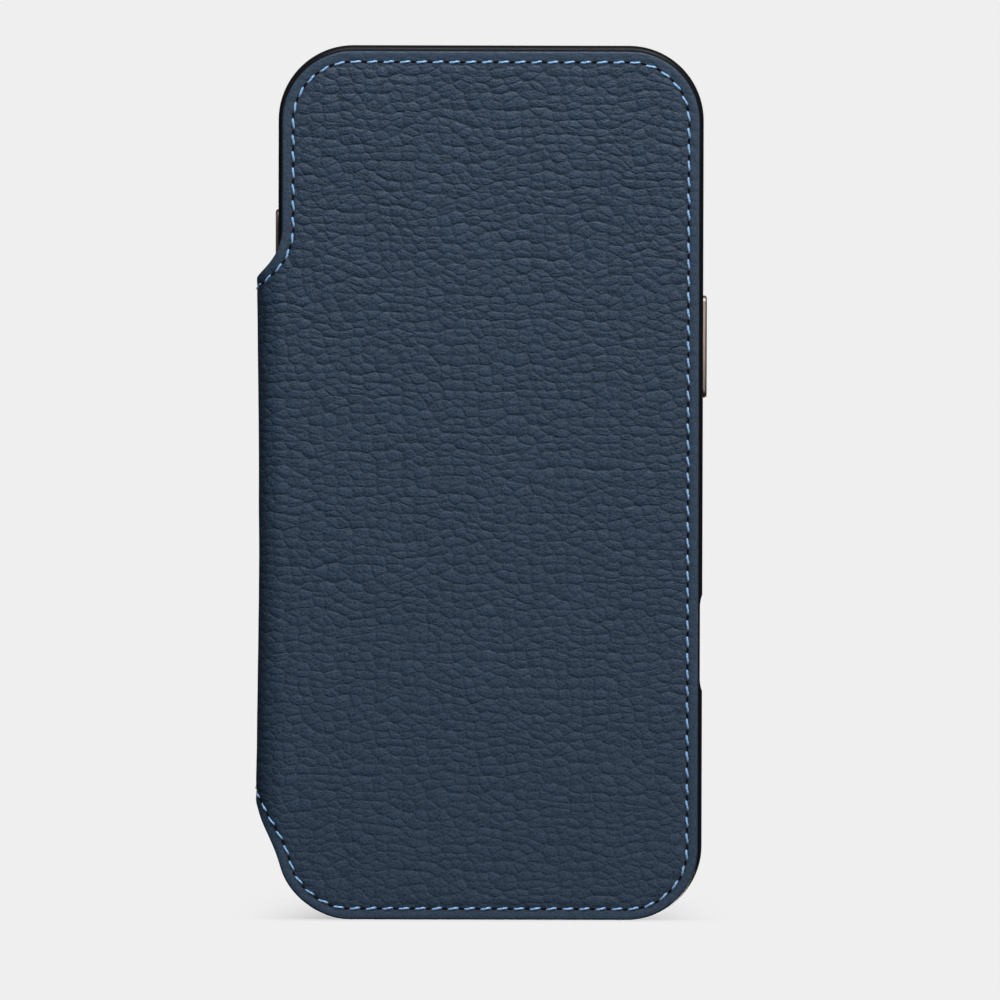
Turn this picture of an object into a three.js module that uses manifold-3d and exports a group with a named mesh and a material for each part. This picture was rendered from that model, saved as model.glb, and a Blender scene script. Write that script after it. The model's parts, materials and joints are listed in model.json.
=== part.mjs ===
// A slim leather folio case for a large phone. A moulded holder grips the phone, one leather skin
// wraps it from the cover round the spine to the back, and the cover carries card pockets.
// Millimetres. The cover faces -Y, +X is right as the viewer sees it, and +Z is up.
// The case stands on its lower edge, closed, with no phone in it.
import * as THREE from "three";
import { mergeVertices } from "three/addons/utils/BufferGeometryUtils.js";
import Module from "manifold-3d";

const wasm = await Module();
wasm.setup();

// ---- driving dimensions ----

// The phone that the case is made for.
const phoneWidth = 77.6;
const phoneHeight = 163.0;
const phoneThickness = 8.25;
const phoneCorner = 12.7;
const phoneFit = 0.1; // room on every side of the phone

// The moulded holder.
const holderWall = 1.4;
const holderBack = 1.35;
const holderRound = 1.3; // rounding of the two outer rims
const lipRise = 0.8; // the lip stands this far in front of the glass
const lipReach = 0.9; // and reaches this far over it
const glueGap = 0.05; // film of glue between bonded layers
const holderLiningThickness = 0.35;
const holderLiningInset = 1.0;

// Openings in the holder.
const cameraWidth = 40.0;
const cameraHeight = 40.6;
const cameraCorner = 11.0;
const cameraFromRight = 4.5;
const cameraFromTop = 5.4;
const cameraRim = 0.8; // width of the moulded rim round the camera opening
const cameraRimProud = 0.3; // how far it stands out of the back leather
const cameraRimClearance = 0.2;
const portLength = 13.0;
const portWidth = 6.4;
const soundLength = 9.0;
const soundWidth = 2.2;
const soundSpacing = 17.0;
const touchLength = 15.5; // slot over the touch control in the right wall
const touchWidth = 3.2;
const touchFromTop = 113.2;
const scoopLength = 18.4; // the shallow finger scoop round that slot
const scoopDepth = 0.45;
const scoopRamp = 1.6;

// Key caps.
const keyWidth = 3.2;
const keyClearance = 0.15;
const keyFlange = 0.5; // the hidden flange stands this far out round the cap
const keyFlangeThickness = 0.35;
const keyTravel = 0.3;
const keyRound = 0.25;

// Leather, lining and pockets.
const leather = 1.1;
const board = 0.45;
const lining = 0.5;
const pocketLeather = 0.45;
const boardInset = 4.0;
const boardClearance = 0.1;
const lipGap = 0.45; // closed cover to the holder's lip
const coverInsetSide = 0.5; // the cover's edge lies this far inside the holder's outline
const coverInsetEnds = 0.65;
const pocketInset = 0.25;

// The spine and its folds.
const spineRoom = 2.4; // air between the holder's left wall and the spine's lining
const bendRadius = 5.0; // outer radius of the leather at both folds
const foldGap = 0.3; // between the rigid pieces that meet at a fold
const spineFromTop = 44.3; // the spine's upper edge, below the holder's top
const spineBottom = 22.5;
const flareHeight = 7.9; // the skin widens from cover to spine over this height, at the top
const flareBend = 4.2; // height of the curved start of that flare
const footHeight = 12.0; // and over this height at the foot

// Stitching.
const stitchInset = 2.0;
const threadWidth = 0.5;
const threadProud = 0.1;
const threadDepth = 0.25;
const threadClearance = 0.05;
const pocketStitchLow = 40.0;
const pocketStitchFromTop = 37.0;

// The hidden closure: two thin magnets in the cover, two steel bars in the holder's right wall.
const magnetLength = 12.0;
const magnetWidth = 4.5;
const magnetFromEdge = 3.0;
const magnetClearance = 0.2;
const strikeLength = 12.0;
const strikeWidth = 2.4;
const strikeThickness = 0.4;
const strikeClearance = 0.1;
const closureFromTop = 25.0;
const closureLow = 26.0;

// Fineness of the round stretches.
const cornerSteps = 5;
const foldSteps = 5;
const rimSteps = 3;

// ---- places worked out from them ----

const halfPhone = phoneWidth / 2 + phoneFit;
const halfHolder = halfPhone + holderWall;
const holderHeight = phoneHeight + 2 * phoneFit + 2 * holderWall;
const holderCorner = phoneCorner + phoneFit + holderWall;
const bayCorner = phoneCorner + phoneFit;
const middleZ = holderHeight / 2;

const bayBackY = phoneThickness / 2 + phoneFit / 4;
const bayFrontY = -bayBackY;
const plateFrontY = bayBackY + holderLiningThickness + glueGap;
const plateBackY = plateFrontY + holderBack;
const skinBackY = plateBackY + glueGap + leather;
const lipFrontY = bayFrontY - lipRise;

const pocketPitch = pocketLeather + glueGap;
const pocketInnerY = lipFrontY - lipGap; // the face nearest the phone
const cashInnerY = pocketInnerY - 3 * pocketPitch;
const coverLiningInnerY = cashInnerY - pocketPitch;
const coverLeatherInnerY = coverLiningInnerY - lining - glueGap;
const boardRecess = board + 2 * glueGap;
const coverLeather = leather + boardRecess;
const skinFrontY = coverLeatherInnerY - coverLeather;

const spineX = -(halfHolder + spineRoom + lining + glueGap + leather);
const foldX = spineX + bendRadius;
const frontFoldY = skinFrontY + bendRadius;
const backFoldY = skinBackY - bendRadius;

const coverHalf = halfHolder - coverInsetSide;
const coverTop = holderHeight - coverInsetEnds;
const coverBottom = coverInsetEnds;
const coverCorner = holderCorner - coverInsetSide;

const spineTop = holderHeight - spineFromTop;
const pocketStitchHigh = holderHeight - pocketStitchFromTop;
const closureHigh = holderHeight - closureFromTop;
const cameraX = halfHolder - cameraFromRight - cameraWidth / 2;
const cameraZ = holderHeight - cameraFromTop - cameraHeight / 2;
const touchZ = holderHeight - touchFromTop;
const beyond = 5.0; // cutters reach this far past what they cut

// ---- solids ----

function solidOf(geometry) {
  geometry.deleteAttribute("normal");
  geometry.deleteAttribute("uv");
  const merged = mergeVertices(geometry, 1e-4);
  return new wasm.Manifold(
    new wasm.Mesh({
      numProp: 3,
      vertProperties: merged.attributes.position.array,
      triVerts: new Uint32Array(merged.index.array),
    }),
  );
}

function extruded(shape, low, high, round) {
  return new THREE.ExtrudeGeometry(shape, {
    depth: high - low - 2 * round,
    curveSegments: cornerSteps,
    bevelEnabled: round > 0,
    bevelThickness: round,
    bevelSize: round,
    bevelOffset: -round,
    bevelSegments: rimSteps,
  }).translate(0, 0, low + round);
}

// Prisms of a shape drawn in (x, y), (x, z) or (y, z), from one level of the third axis to another.
function alongZ(shape, low, high) {
  return solidOf(extruded(shape, low, high, 0));
}

function alongY(shape, low, high, round = 0) {
  return solidOf(extruded(shape, -high, -low, round).rotateX(Math.PI / 2));
}

function alongX(shape, low, high, round = 0) {
  return solidOf(extruded(shape, low, high, round).rotateX(Math.PI / 2).rotateZ(Math.PI / 2));
}

function meshOf(name, solid, material) {
  const { vertProperties, triVerts } = solid.getMesh();
  const geometry = new THREE.BufferGeometry();
  geometry.setAttribute("position", new THREE.BufferAttribute(vertProperties, 3));
  geometry.setIndex(new THREE.BufferAttribute(triVerts, 1));
  geometry.computeVertexNormals();
  const mesh = new THREE.Mesh(geometry, material);
  mesh.name = name;
  return mesh;
}

// ---- outlines ----

function box(lowX, lowY, highX, highY) {
  return new THREE.Shape([
    new THREE.Vector2(lowX, lowY),
    new THREE.Vector2(highX, lowY),
    new THREE.Vector2(highX, highY),
    new THREE.Vector2(lowX, highY),
  ]);
}

// A rectangle with round corners about (x, y). A stadium is one whose radius is half its short side.
function roundedBox(x, y, width, height, radius) {
  const right = width / 2 - radius;
  const top = height / 2 - radius;
  const shape = new THREE.Shape();
  shape.absarc(x + right, y - top, radius, -Math.PI / 2, 0);
  shape.absarc(x + right, y + top, radius, 0, Math.PI / 2);
  shape.absarc(x - right, y + top, radius, Math.PI / 2, Math.PI);
  shape.absarc(x - right, y - top, radius, Math.PI, 1.5 * Math.PI);
  return shape;
}

function holderOutline(inset) {
  const corner = holderCorner - inset;
  return roundedBox(0, middleZ, 2 * (halfHolder - inset), holderHeight - 2 * inset, corner);
}

function cameraOutline(grow) {
  return roundedBox(cameraX, cameraZ, cameraWidth + 2 * grow, cameraHeight + 2 * grow,
    cameraCorner + grow);
}

// A closed counter-clockwise loop moved inwards by the same distance everywhere.
function insetLoop(points, inset) {
  const count = points.length;
  return points.map((point, i) => {
    const before = points[(i + count - 1) % count];
    const after = points[(i + 1) % count];
    const sideA = new THREE.Vector2(before.y - point.y, point.x - before.x).normalize();
    const sideB = new THREE.Vector2(point.y - after.y, after.x - point.x).normalize();
    const reach = inset / (1 + sideA.dot(sideB));
    return point.clone().addScaledVector(sideA.add(sideB), reach);
  });
}

// The skin's outline seen from the front. Down its left side it steps out from the cover's edge to the
// spine, under a slanted flare at the top and a longer one at the foot. Past the spine it runs on to
// the left, because the spine's own section ends it there.
function skinOutline(inset) {
  const farLeft = spineX - 3 * beyond;
  const flareFoot = spineTop + flareHeight - flareBend;
  const flareFootX = -coverHalf - 0.35 * (-coverHalf - spineX);
  const footX = -coverHalf - 0.3 * (-coverHalf - spineX);
  const footZ = spineBottom - 0.65 * footHeight;
  const cornerX = coverHalf - coverCorner;
  const path = new THREE.Path();
  path.absarc(cornerX, coverBottom + coverCorner, coverCorner, -Math.PI / 2, 0);
  path.absarc(cornerX, coverTop - coverCorner, coverCorner, 0, Math.PI / 2);
  path.absarc(-cornerX, coverTop - coverCorner, coverCorner, Math.PI / 2, Math.PI);
  path.lineTo(-coverHalf, spineTop + flareHeight);
  path.quadraticCurveTo(-coverHalf, flareFoot + 0.4 * flareBend, flareFootX, flareFoot);
  path.lineTo(spineX, spineTop);
  path.lineTo(farLeft, spineTop);
  path.lineTo(farLeft, spineBottom);
  path.lineTo(spineX, spineBottom);
  path.quadraticCurveTo(spineX, spineBottom - 0.22 * footHeight, footX, footZ);
  path.absarc(-cornerX, coverBottom + coverCorner, coverCorner, 1.1 * Math.PI, 1.5 * Math.PI);
  const loop = path.getPoints(cornerSteps);
  const joined = loop.filter((p, i) => p.distanceTo(loop[(i + 1) % loop.length]) > 1e-3);
  return insetLoop(joined, inset);
}

function skinShape(inset) {
  return new THREE.Shape(skinOutline(inset));
}

// ---- the skin's section ----

// One edge of a section, seen from above, at a depth below the skin's outer face. The cover, the
// spine and the back stop short of the middle of each fold by half the gap, and a cutter runs past it.
function sectionEdge(part, depth, short) {
  const radius = bendRadius - depth;
  const cut = Math.asin(short / radius);
  const right = halfHolder + beyond;
  const points = [];
  const fold = (y, from, to) => {
    for (let i = 0; i <= foldSteps; i++) {
      const angle = from + ((to - from) * i) / foldSteps;
      points.push(new THREE.Vector2(foldX + radius * Math.cos(angle), y + radius * Math.sin(angle)));
    }
  };
  if (part === "cover") {
    points.push(new THREE.Vector2(right, skinFrontY + depth));
    fold(frontFoldY, 1.5 * Math.PI, 1.25 * Math.PI + cut);
  }
  if (part === "spine") {
    fold(frontFoldY, 1.25 * Math.PI - cut, Math.PI);
    fold(backFoldY, Math.PI, 0.75 * Math.PI + cut);
  }
  if (part === "back") {
    fold(backFoldY, 0.75 * Math.PI - cut, 0.5 * Math.PI);
    points.push(new THREE.Vector2(right, skinBackY - depth));
  }
  return points;
}

// One part of the skin, or of a layer inside it, between two depths, cut to an outline.
function skinLayer(part, outer, inner, outline, short = foldGap / 2) {
  const outerEdge = sectionEdge(part, outer, short);
  const section = [...outerEdge, ...sectionEdge(part, inner, short).reverse()];
  const sheet = alongZ(new THREE.Shape(section), -beyond, holderHeight + beyond);
  return sheet.intersect(alongY(outline, skinFrontY - beyond, skinBackY + beyond));
}

// The row of stitches, drawn as one bead that runs round inside the skin's edge.
function stitchBand(halfWidth) {
  const shape = skinShape(stitchInset - halfWidth);
  shape.holes.push(new THREE.Path(skinOutline(stitchInset + halfWidth)));
  return shape;
}

function stitchBead(part) {
  return skinLayer(part, -threadProud, threadDepth, stitchBand(threadWidth / 2));
}

function stitchGroove(part) {
  const band = stitchBand(threadWidth / 2 + threadClearance);
  return skinLayer(part, -beyond / 4, threadDepth + threadClearance, band, -foldGap);
}

// ---- materials ----

function finish(color, roughness, metalness) {
  return new THREE.MeshStandardMaterial({ color, roughness, metalness });
}

const finishes = {
  leather: () => finish(0x2d3b4d, 0.55, 0),
  lining: () => finish(0x26313f, 0.9, 0),
  pocket: () => finish(0x2b3849, 0.6, 0),
  thread: () => finish(0x8fb9e6, 0.7, 0),
  board: () => finish(0x5a5248, 0.9, 0),
  moulding: () => finish(0x17181b, 0.25, 0),
  key: () => finish(0x7a6e66, 0.35, 1),
  magnet: () => finish(0x9a9ca0, 0.3, 1),
  steel: () => finish(0x8c8e92, 0.4, 1),
};

// ---- keys ----

// Each cap passes through a slot in a side wall. side is 1 on the right and -1 on the left.
const keys = [
  { name: "power_key", side: 1, fromTop: 57.1, length: 19.6, proud: 0.76 },
  { name: "action_key", side: -1, fromTop: 35.6, length: 9.0, proud: 0.6 },
  { name: "volume_up_key", side: -1, fromTop: 49.5, length: 11.0, proud: 0.6 },
  { name: "volume_down_key", side: -1, fromTop: 63.0, length: 11.0, proud: 0.6 },
];

function keyOutline(key, grow) {
  const width = keyWidth + 2 * grow;
  return roundedBox(0, holderHeight - key.fromTop, width, key.length + 2 * grow, width / 2);
}

// A prism from one distance left or right of the middle to another.
function sideways(shape, side, near, far, round) {
  return side > 0 ? alongX(shape, near, far, round) : alongX(shape, -far, -near, round);
}

const flangeOuter = halfPhone + keyTravel + glueGap + keyFlangeThickness;

function keyCap(key) {
  const cap = sideways(keyOutline(key, 0), key.side, flangeOuter - keyFlangeThickness / 2,
    halfHolder + key.proud, keyRound / 2);
  const flange = sideways(keyOutline(key, keyFlange), key.side, flangeOuter - keyFlangeThickness,
    flangeOuter, 0);
  return cap.add(flange);
}

function keySlot(key) {
  const slot = sideways(keyOutline(key, keyClearance), key.side, halfPhone - beyond / 4,
    halfHolder + beyond, 0);
  const seat = sideways(keyOutline(key, keyFlange + keyClearance), key.side,
    halfPhone - beyond / 4, flangeOuter + glueGap, 0);
  return slot.add(seat);
}

// ---- the holder ----

function strikeOutline(z, grow) {
  const y = bayFrontY + strikeClearance + strikeWidth / 2 + holderWall / 4;
  const width = strikeWidth + 2 * grow;
  return roundedBox(y, z, width, strikeLength + 2 * grow, width / 4);
}

function scoopCutter() {
  const half = scoopLength / 2;
  const floorX = halfHolder - scoopDepth;
  return new THREE.Shape([
    new THREE.Vector2(halfHolder + beyond, touchZ - half - scoopRamp),
    new THREE.Vector2(halfHolder + beyond, touchZ + half + scoopRamp),
    new THREE.Vector2(halfHolder, touchZ + half),
    new THREE.Vector2(floorX, touchZ + half - scoopRamp),
    new THREE.Vector2(floorX, touchZ - half + scoopRamp),
    new THREE.Vector2(halfHolder, touchZ - half),
  ]);
}

function holderShell() {
  const reach = skinBackY + beyond;
  let shell = alongY(holderOutline(0), lipFrontY, plateBackY, holderRound);
  const rimTop = skinBackY + cameraRimProud;
  shell = shell.add(alongY(cameraOutline(cameraRim), plateFrontY + holderBack / 2, rimTop));
  shell = shell.subtract(alongY(holderOutline(holderWall), bayFrontY, plateFrontY));
  const window = holderOutline(holderWall + lipReach);
  shell = shell.subtract(alongY(window, lipFrontY - beyond, bayFrontY + glueGap));
  shell = shell.subtract(alongY(cameraOutline(0), 0, reach));
  for (const key of keys) {
    shell = shell.subtract(keySlot(key));
  }
  const touchSlot = roundedBox(0, touchZ, touchWidth, touchLength, touchWidth / 2);
  shell = shell.subtract(alongX(touchSlot, halfPhone - beyond / 4, halfHolder + beyond));
  shell = shell.subtract(alongY(scoopCutter(), lipFrontY - beyond, reach));
  const port = roundedBox(0, 0, portLength, portWidth, portWidth / 2);
  shell = shell.subtract(alongZ(port, -beyond, holderWall + glueGap));
  for (const side of [-1, 1]) {
    const sound = roundedBox(side * soundSpacing, 0, soundLength, soundWidth, soundWidth / 2);
    shell = shell.subtract(alongZ(sound, -beyond, holderWall + glueGap));
  }
  const strikeDepth = halfPhone + strikeThickness + glueGap;
  for (const z of [closureLow, closureHigh]) {
    const recess = strikeOutline(z, strikeClearance);
    shell = shell.subtract(alongX(recess, halfPhone - beyond / 4, strikeDepth));
  }
  return shell;
}

function holderLining() {
  const pad = holderOutline(holderWall + holderLiningInset);
  const sheet = alongY(pad, bayBackY, bayBackY + holderLiningThickness);
  return sheet.subtract(alongY(cameraOutline(cameraRim), 0, plateBackY));
}

function strikeBar(z) {
  return alongX(strikeOutline(z, 0), halfPhone + glueGap / 2, halfPhone + strikeThickness);
}

// ---- the leather skin ----

function backLeather() {
  const hole = cameraOutline(cameraRim + cameraRimClearance);
  return skinLayer("back", 0, leather, skinShape(0))
    .subtract(stitchGroove("back"))
    .subtract(alongY(hole, 0, skinBackY + beyond));
}

function spineLeather() {
  return skinLayer("spine", 0, leather, skinShape(0)).subtract(stitchGroove("spine"));
}

function spineLining() {
  const depth = leather + glueGap;
  return skinLayer("spine", depth, depth + lining, skinShape(0));
}

// The spine's row is in two runs, one under its top edge and one over its foot.
function spineThread(isUpper) {
  const runs = stitchBead("spine").decompose();
  const chosen = runs.filter((run) => run.boundingBox().min[2] > middleZ === isUpper);
  return chosen[0];
}

// ---- the cover ----

// A sheet inside the cover, cut to the skin's outline and kept to the right of a slanted edge.
function coverSheet(inset, leftAtFoot, leftAtTop, low, high) {
  const keep = new THREE.Shape([
    new THREE.Vector2(leftAtFoot, -beyond),
    new THREE.Vector2(halfHolder + beyond, -beyond),
    new THREE.Vector2(halfHolder + beyond, holderHeight + beyond),
    new THREE.Vector2(leftAtTop, holderHeight + beyond),
  ]);
  return alongY(skinShape(inset), low, high).intersect(alongY(keep, low - 1, high + 1));
}

const boardOuterY = skinFrontY + leather + glueGap;
const boardLeft = foldX + boardInset / 2;
const magnetX = coverHalf - magnetFromEdge - magnetWidth / 2;

function magnetOutline(z, grow) {
  const width = magnetWidth + 2 * grow;
  return roundedBox(magnetX, z, width, magnetLength + 2 * grow, width / 5);
}

// The board and its magnets lie in a shallow bed skived into the leather's inner face.
function boardBed() {
  const left = boardLeft - boardClearance;
  const bedInset = boardInset - boardClearance;
  let bed = coverSheet(bedInset, left, left, skinFrontY + leather, coverLeatherInnerY + beyond);
  for (const z of [closureLow, closureHigh]) {
    const seat = magnetOutline(z, magnetClearance);
    bed = bed.add(alongY(seat, skinFrontY + leather, coverLeatherInnerY + beyond));
  }
  return bed;
}

function coverLeatherPiece() {
  return skinLayer("cover", 0, coverLeather, skinShape(0))
    .subtract(stitchGroove("cover"))
    .subtract(boardBed());
}

function coverBoard() {
  let sheet = coverSheet(boardInset, boardLeft, boardLeft, boardOuterY, boardOuterY + board);
  for (const z of [closureLow, closureHigh]) {
    const window = magnetOutline(z, magnetClearance);
    sheet = sheet.subtract(alongY(window, boardOuterY - 1, boardOuterY + board + 1));
  }
  return sheet;
}

function coverMagnet(z) {
  return alongY(magnetOutline(z, 0), boardOuterY, boardOuterY + board);
}

function coverLining() {
  const depth = coverLeather + glueGap;
  return skinLayer("cover", depth, depth + lining, skinShape(0));
}

// Pockets open towards the spine. The innermost, number 1, is the narrowest.
const pocketStep = 9.0;
const pocketSlant = 2.0;
const cashLeft = -30.0;

function pocketLeft(layersDown) {
  return cashLeft + pocketStep * (3 - layersDown);
}

function pocketSheet(layersDown) {
  const innerY = pocketInnerY - layersDown * pocketPitch;
  const left = pocketLeft(layersDown);
  return coverSheet(pocketInset, left - pocketSlant, left + pocketSlant,
    innerY - pocketLeather, innerY);
}

function pocketStitchOutline(z, halfWidth) {
  const left = pocketLeft(0) + 2 * pocketSlant;
  const right = coverHalf - 2 * stitchInset;
  return box(left - halfWidth, z - halfWidth, right + halfWidth, z + halfWidth);
}

function pocketThread(z) {
  const bead = pocketStitchOutline(z, threadWidth / 2);
  return alongY(bead, pocketInnerY - pocketLeather / 2, pocketInnerY + threadProud);
}

function narrowPocket() {
  let sheet = pocketSheet(0);
  for (const z of [pocketStitchLow, pocketStitchHigh]) {
    const groove = pocketStitchOutline(z, threadWidth / 2 + threadClearance);
    const floorY = pocketInnerY - pocketLeather / 2 - threadClearance;
    sheet = sheet.subtract(alongY(groove, floorY, pocketInnerY + 1));
  }
  return sheet;
}

// ---- assembly ----

const holder = new THREE.Group();
holder.add(
  meshOf("holder_shell", holderShell(), finishes.moulding()),
  meshOf("holder_lining", holderLining(), finishes.lining()),
  meshOf("back_leather", backLeather(), finishes.leather()),
  meshOf("back_thread", stitchBead("back"), finishes.thread()),
  meshOf("holder_strike_lower", strikeBar(closureLow), finishes.steel()),
  meshOf("holder_strike_upper", strikeBar(closureHigh), finishes.steel()),
);
for (const key of keys) {
  holder.add(meshOf(key.name, keyCap(key), finishes.key()));
}

const spine = new THREE.Group();
spine.add(
  meshOf("spine_leather", spineLeather(), finishes.leather()),
  meshOf("spine_lining", spineLining(), finishes.lining()),
  meshOf("spine_thread_lower", spineThread(false), finishes.thread()),
  meshOf("spine_thread_upper", spineThread(true), finishes.thread()),
);

const cover = new THREE.Group();
cover.add(
  meshOf("cover_leather", coverLeatherPiece(), finishes.leather()),
  meshOf("cover_board", coverBoard(), finishes.board()),
  meshOf("cover_lining", coverLining(), finishes.lining()),
  meshOf("cash_pocket", pocketSheet(3), finishes.pocket()),
  meshOf("card_pocket_3", pocketSheet(2), finishes.pocket()),
  meshOf("card_pocket_2", pocketSheet(1), finishes.pocket()),
  meshOf("card_pocket_1", narrowPocket(), finishes.pocket()),
  meshOf("cover_thread", stitchBead("cover"), finishes.thread()),
  meshOf("pocket_thread_lower", pocketThread(pocketStitchLow), finishes.thread()),
  meshOf("pocket_thread_upper", pocketThread(pocketStitchHigh), finishes.thread()),
  meshOf("cover_magnet_lower", coverMagnet(closureLow), finishes.magnet()),
  meshOf("cover_magnet_upper", coverMagnet(closureHigh), finishes.magnet()),
);

// The origin is the middle of the footprint, on the surface that the case stands on.
const phoneCase = new THREE.Group();
phoneCase.add(holder, spine, cover);
const bounds = new THREE.Box3().setFromObject(phoneCase);
const centre = bounds.getCenter(new THREE.Vector3());
phoneCase.position.set(-centre.x, -centre.y, -bounds.min.z);

export default phoneCase;
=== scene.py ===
import json
import math

import bmesh
import bpy
from mathutils import Matrix, Vector, noise
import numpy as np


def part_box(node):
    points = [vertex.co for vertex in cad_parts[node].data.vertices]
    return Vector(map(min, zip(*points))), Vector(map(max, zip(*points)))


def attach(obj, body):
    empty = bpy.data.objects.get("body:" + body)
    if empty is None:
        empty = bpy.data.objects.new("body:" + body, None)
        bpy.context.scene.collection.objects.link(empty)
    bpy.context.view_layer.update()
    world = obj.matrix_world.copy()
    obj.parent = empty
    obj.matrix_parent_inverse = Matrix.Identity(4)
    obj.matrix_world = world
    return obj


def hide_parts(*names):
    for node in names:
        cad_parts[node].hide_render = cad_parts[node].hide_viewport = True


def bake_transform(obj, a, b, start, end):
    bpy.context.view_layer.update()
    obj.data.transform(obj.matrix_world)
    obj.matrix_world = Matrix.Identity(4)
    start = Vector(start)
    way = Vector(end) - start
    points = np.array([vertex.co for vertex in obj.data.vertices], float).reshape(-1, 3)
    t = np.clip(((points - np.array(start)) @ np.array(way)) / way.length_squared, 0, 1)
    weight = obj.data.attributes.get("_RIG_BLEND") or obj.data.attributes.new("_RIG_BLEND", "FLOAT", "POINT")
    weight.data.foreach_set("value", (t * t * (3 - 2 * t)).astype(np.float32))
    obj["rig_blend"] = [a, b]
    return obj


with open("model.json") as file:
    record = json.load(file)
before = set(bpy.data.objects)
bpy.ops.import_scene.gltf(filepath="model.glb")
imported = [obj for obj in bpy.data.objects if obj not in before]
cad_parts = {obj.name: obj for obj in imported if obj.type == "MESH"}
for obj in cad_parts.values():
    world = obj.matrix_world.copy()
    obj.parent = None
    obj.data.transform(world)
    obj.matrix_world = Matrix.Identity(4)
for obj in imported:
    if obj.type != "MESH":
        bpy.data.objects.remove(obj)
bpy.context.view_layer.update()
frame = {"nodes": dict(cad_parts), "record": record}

scene = bpy.context.scene
mm = 0.001


# ---- Camera ----
# A long lens, well back and a little above the case, square to the cover. The case stands
# upright and fills most of the picture's height.
camera_distance = 1.6
camera_rise = math.radians(1.6)
camera_roll = math.radians(0.14)
picture_width = 190.1 * mm
sensor_width = 36.0
aim = Vector((3.54 * mm, 0.0, 79.75 * mm))
camera_data = bpy.data.cameras.new("camera")
camera_data.sensor_width = sensor_width
camera_data.lens = sensor_width * camera_distance / picture_width
camera_data.clip_end = 20.0
camera = bpy.data.objects.new("camera", camera_data)
scene.collection.objects.link(camera)
back_off = Vector((0.0, -math.cos(camera_rise), math.sin(camera_rise))) * camera_distance
camera.location = aim + back_off
facing = (-back_off).to_track_quat("-Z", "Y").to_matrix()
camera.rotation_euler = (facing @ Matrix.Rotation(camera_roll, 3, "Z")).to_euler()
scene.camera = camera
scene.view_settings.view_transform = "Standard"


# ---- Studio ----
# An even pale grey room, a floor and a dome round it, that only the camera sees, so that it doesn't
# wash out the leather. Softboxes light the case: one high in front, one low behind it, and two
# weak fills. None of it is part of the object.
def linear(hex_colour):
    """An sRGB hex colour as the linear colour that a shader takes."""
    channels = [int(hex_colour[i:i + 2], 16) / 255 for i in (1, 3, 5)]
    return [c / 12.92 if c < 0.04045 else ((c + 0.055) / 1.055) ** 2.4 for c in channels] + [1.0]


def add_node(material, kind, inputs=None, **settings):
    """A node with its settings, and each input given a value or a link."""
    node = material.node_tree.nodes.new(kind)
    for name, value in settings.items():
        setattr(node, name, value)
    for name, value in (inputs or {}).items():
        if isinstance(value, bpy.types.NodeSocket):
            material.node_tree.links.new(value, node.inputs[name])
        else:
            node.inputs[name].default_value = value
    return node


def blank_material(name):
    """A node material with no nodes yet."""
    material = bpy.data.materials.new(name)
    material.use_nodes = True
    material.node_tree.nodes.clear()
    return material


def put_on(material, shader):
    """Makes a shader the surface of its material."""
    add_node(material, "ShaderNodeOutputMaterial", {"Surface": shader.outputs["BSDF"]})


foot_half_width = 29 * mm
shade_side = 20 * mm
shade_back = 95 * mm
shade_front = 10 * mm
shade_depth = 0.4
shade_falloff = 2.0


def foot_shade(paper, glow_node):
    """Painted shade on the floor round and behind the foot of the case: it darkens the floor's glow."""
    place = add_node(paper, "ShaderNodeTexCoord")
    parts = add_node(paper, "ShaderNodeSeparateXYZ", {"Vector": place.outputs["Object"]})
    aside = add_node(paper, "ShaderNodeMath", {0: parts.outputs["X"]}, operation="ABSOLUTE")
    aside = add_node(paper, "ShaderNodeMapRange", {
        "Value": aside.outputs["Value"], "From Min": foot_half_width,
        "From Max": foot_half_width + shade_side})
    behind = add_node(paper, "ShaderNodeMapRange", {
        "Value": parts.outputs["Y"], "From Min": 0.0, "From Max": shade_back})
    near = add_node(paper, "ShaderNodeMapRange", {
        "Value": parts.outputs["Y"], "From Min": -shade_front, "From Max": 0.0})
    shade = add_node(paper, "ShaderNodeMath", {0: 1.0, 1: aside.outputs["Result"]}, operation="SUBTRACT")
    deep = add_node(paper, "ShaderNodeMath", {0: 1.0, 1: behind.outputs["Result"]}, operation="SUBTRACT")
    for fade in (deep, near):
        shade = add_node(paper, "ShaderNodeMath", {0: shade.outputs["Value"], 1: fade.outputs[0]},
                         operation="MULTIPLY")
    shade = add_node(paper, "ShaderNodeMath", {0: shade.outputs["Value"], 1: shade_falloff},
                     operation="POWER")
    kept = add_node(paper, "ShaderNodeMath", {0: shade.outputs["Value"], 1: -shade_depth, 2: 1.0},
                    operation="MULTIPLY_ADD")
    return add_node(paper, "ShaderNodeMath", {0: kept.outputs["Value"], 1: glow_node.outputs[0]},
                    operation="MULTIPLY")


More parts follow.
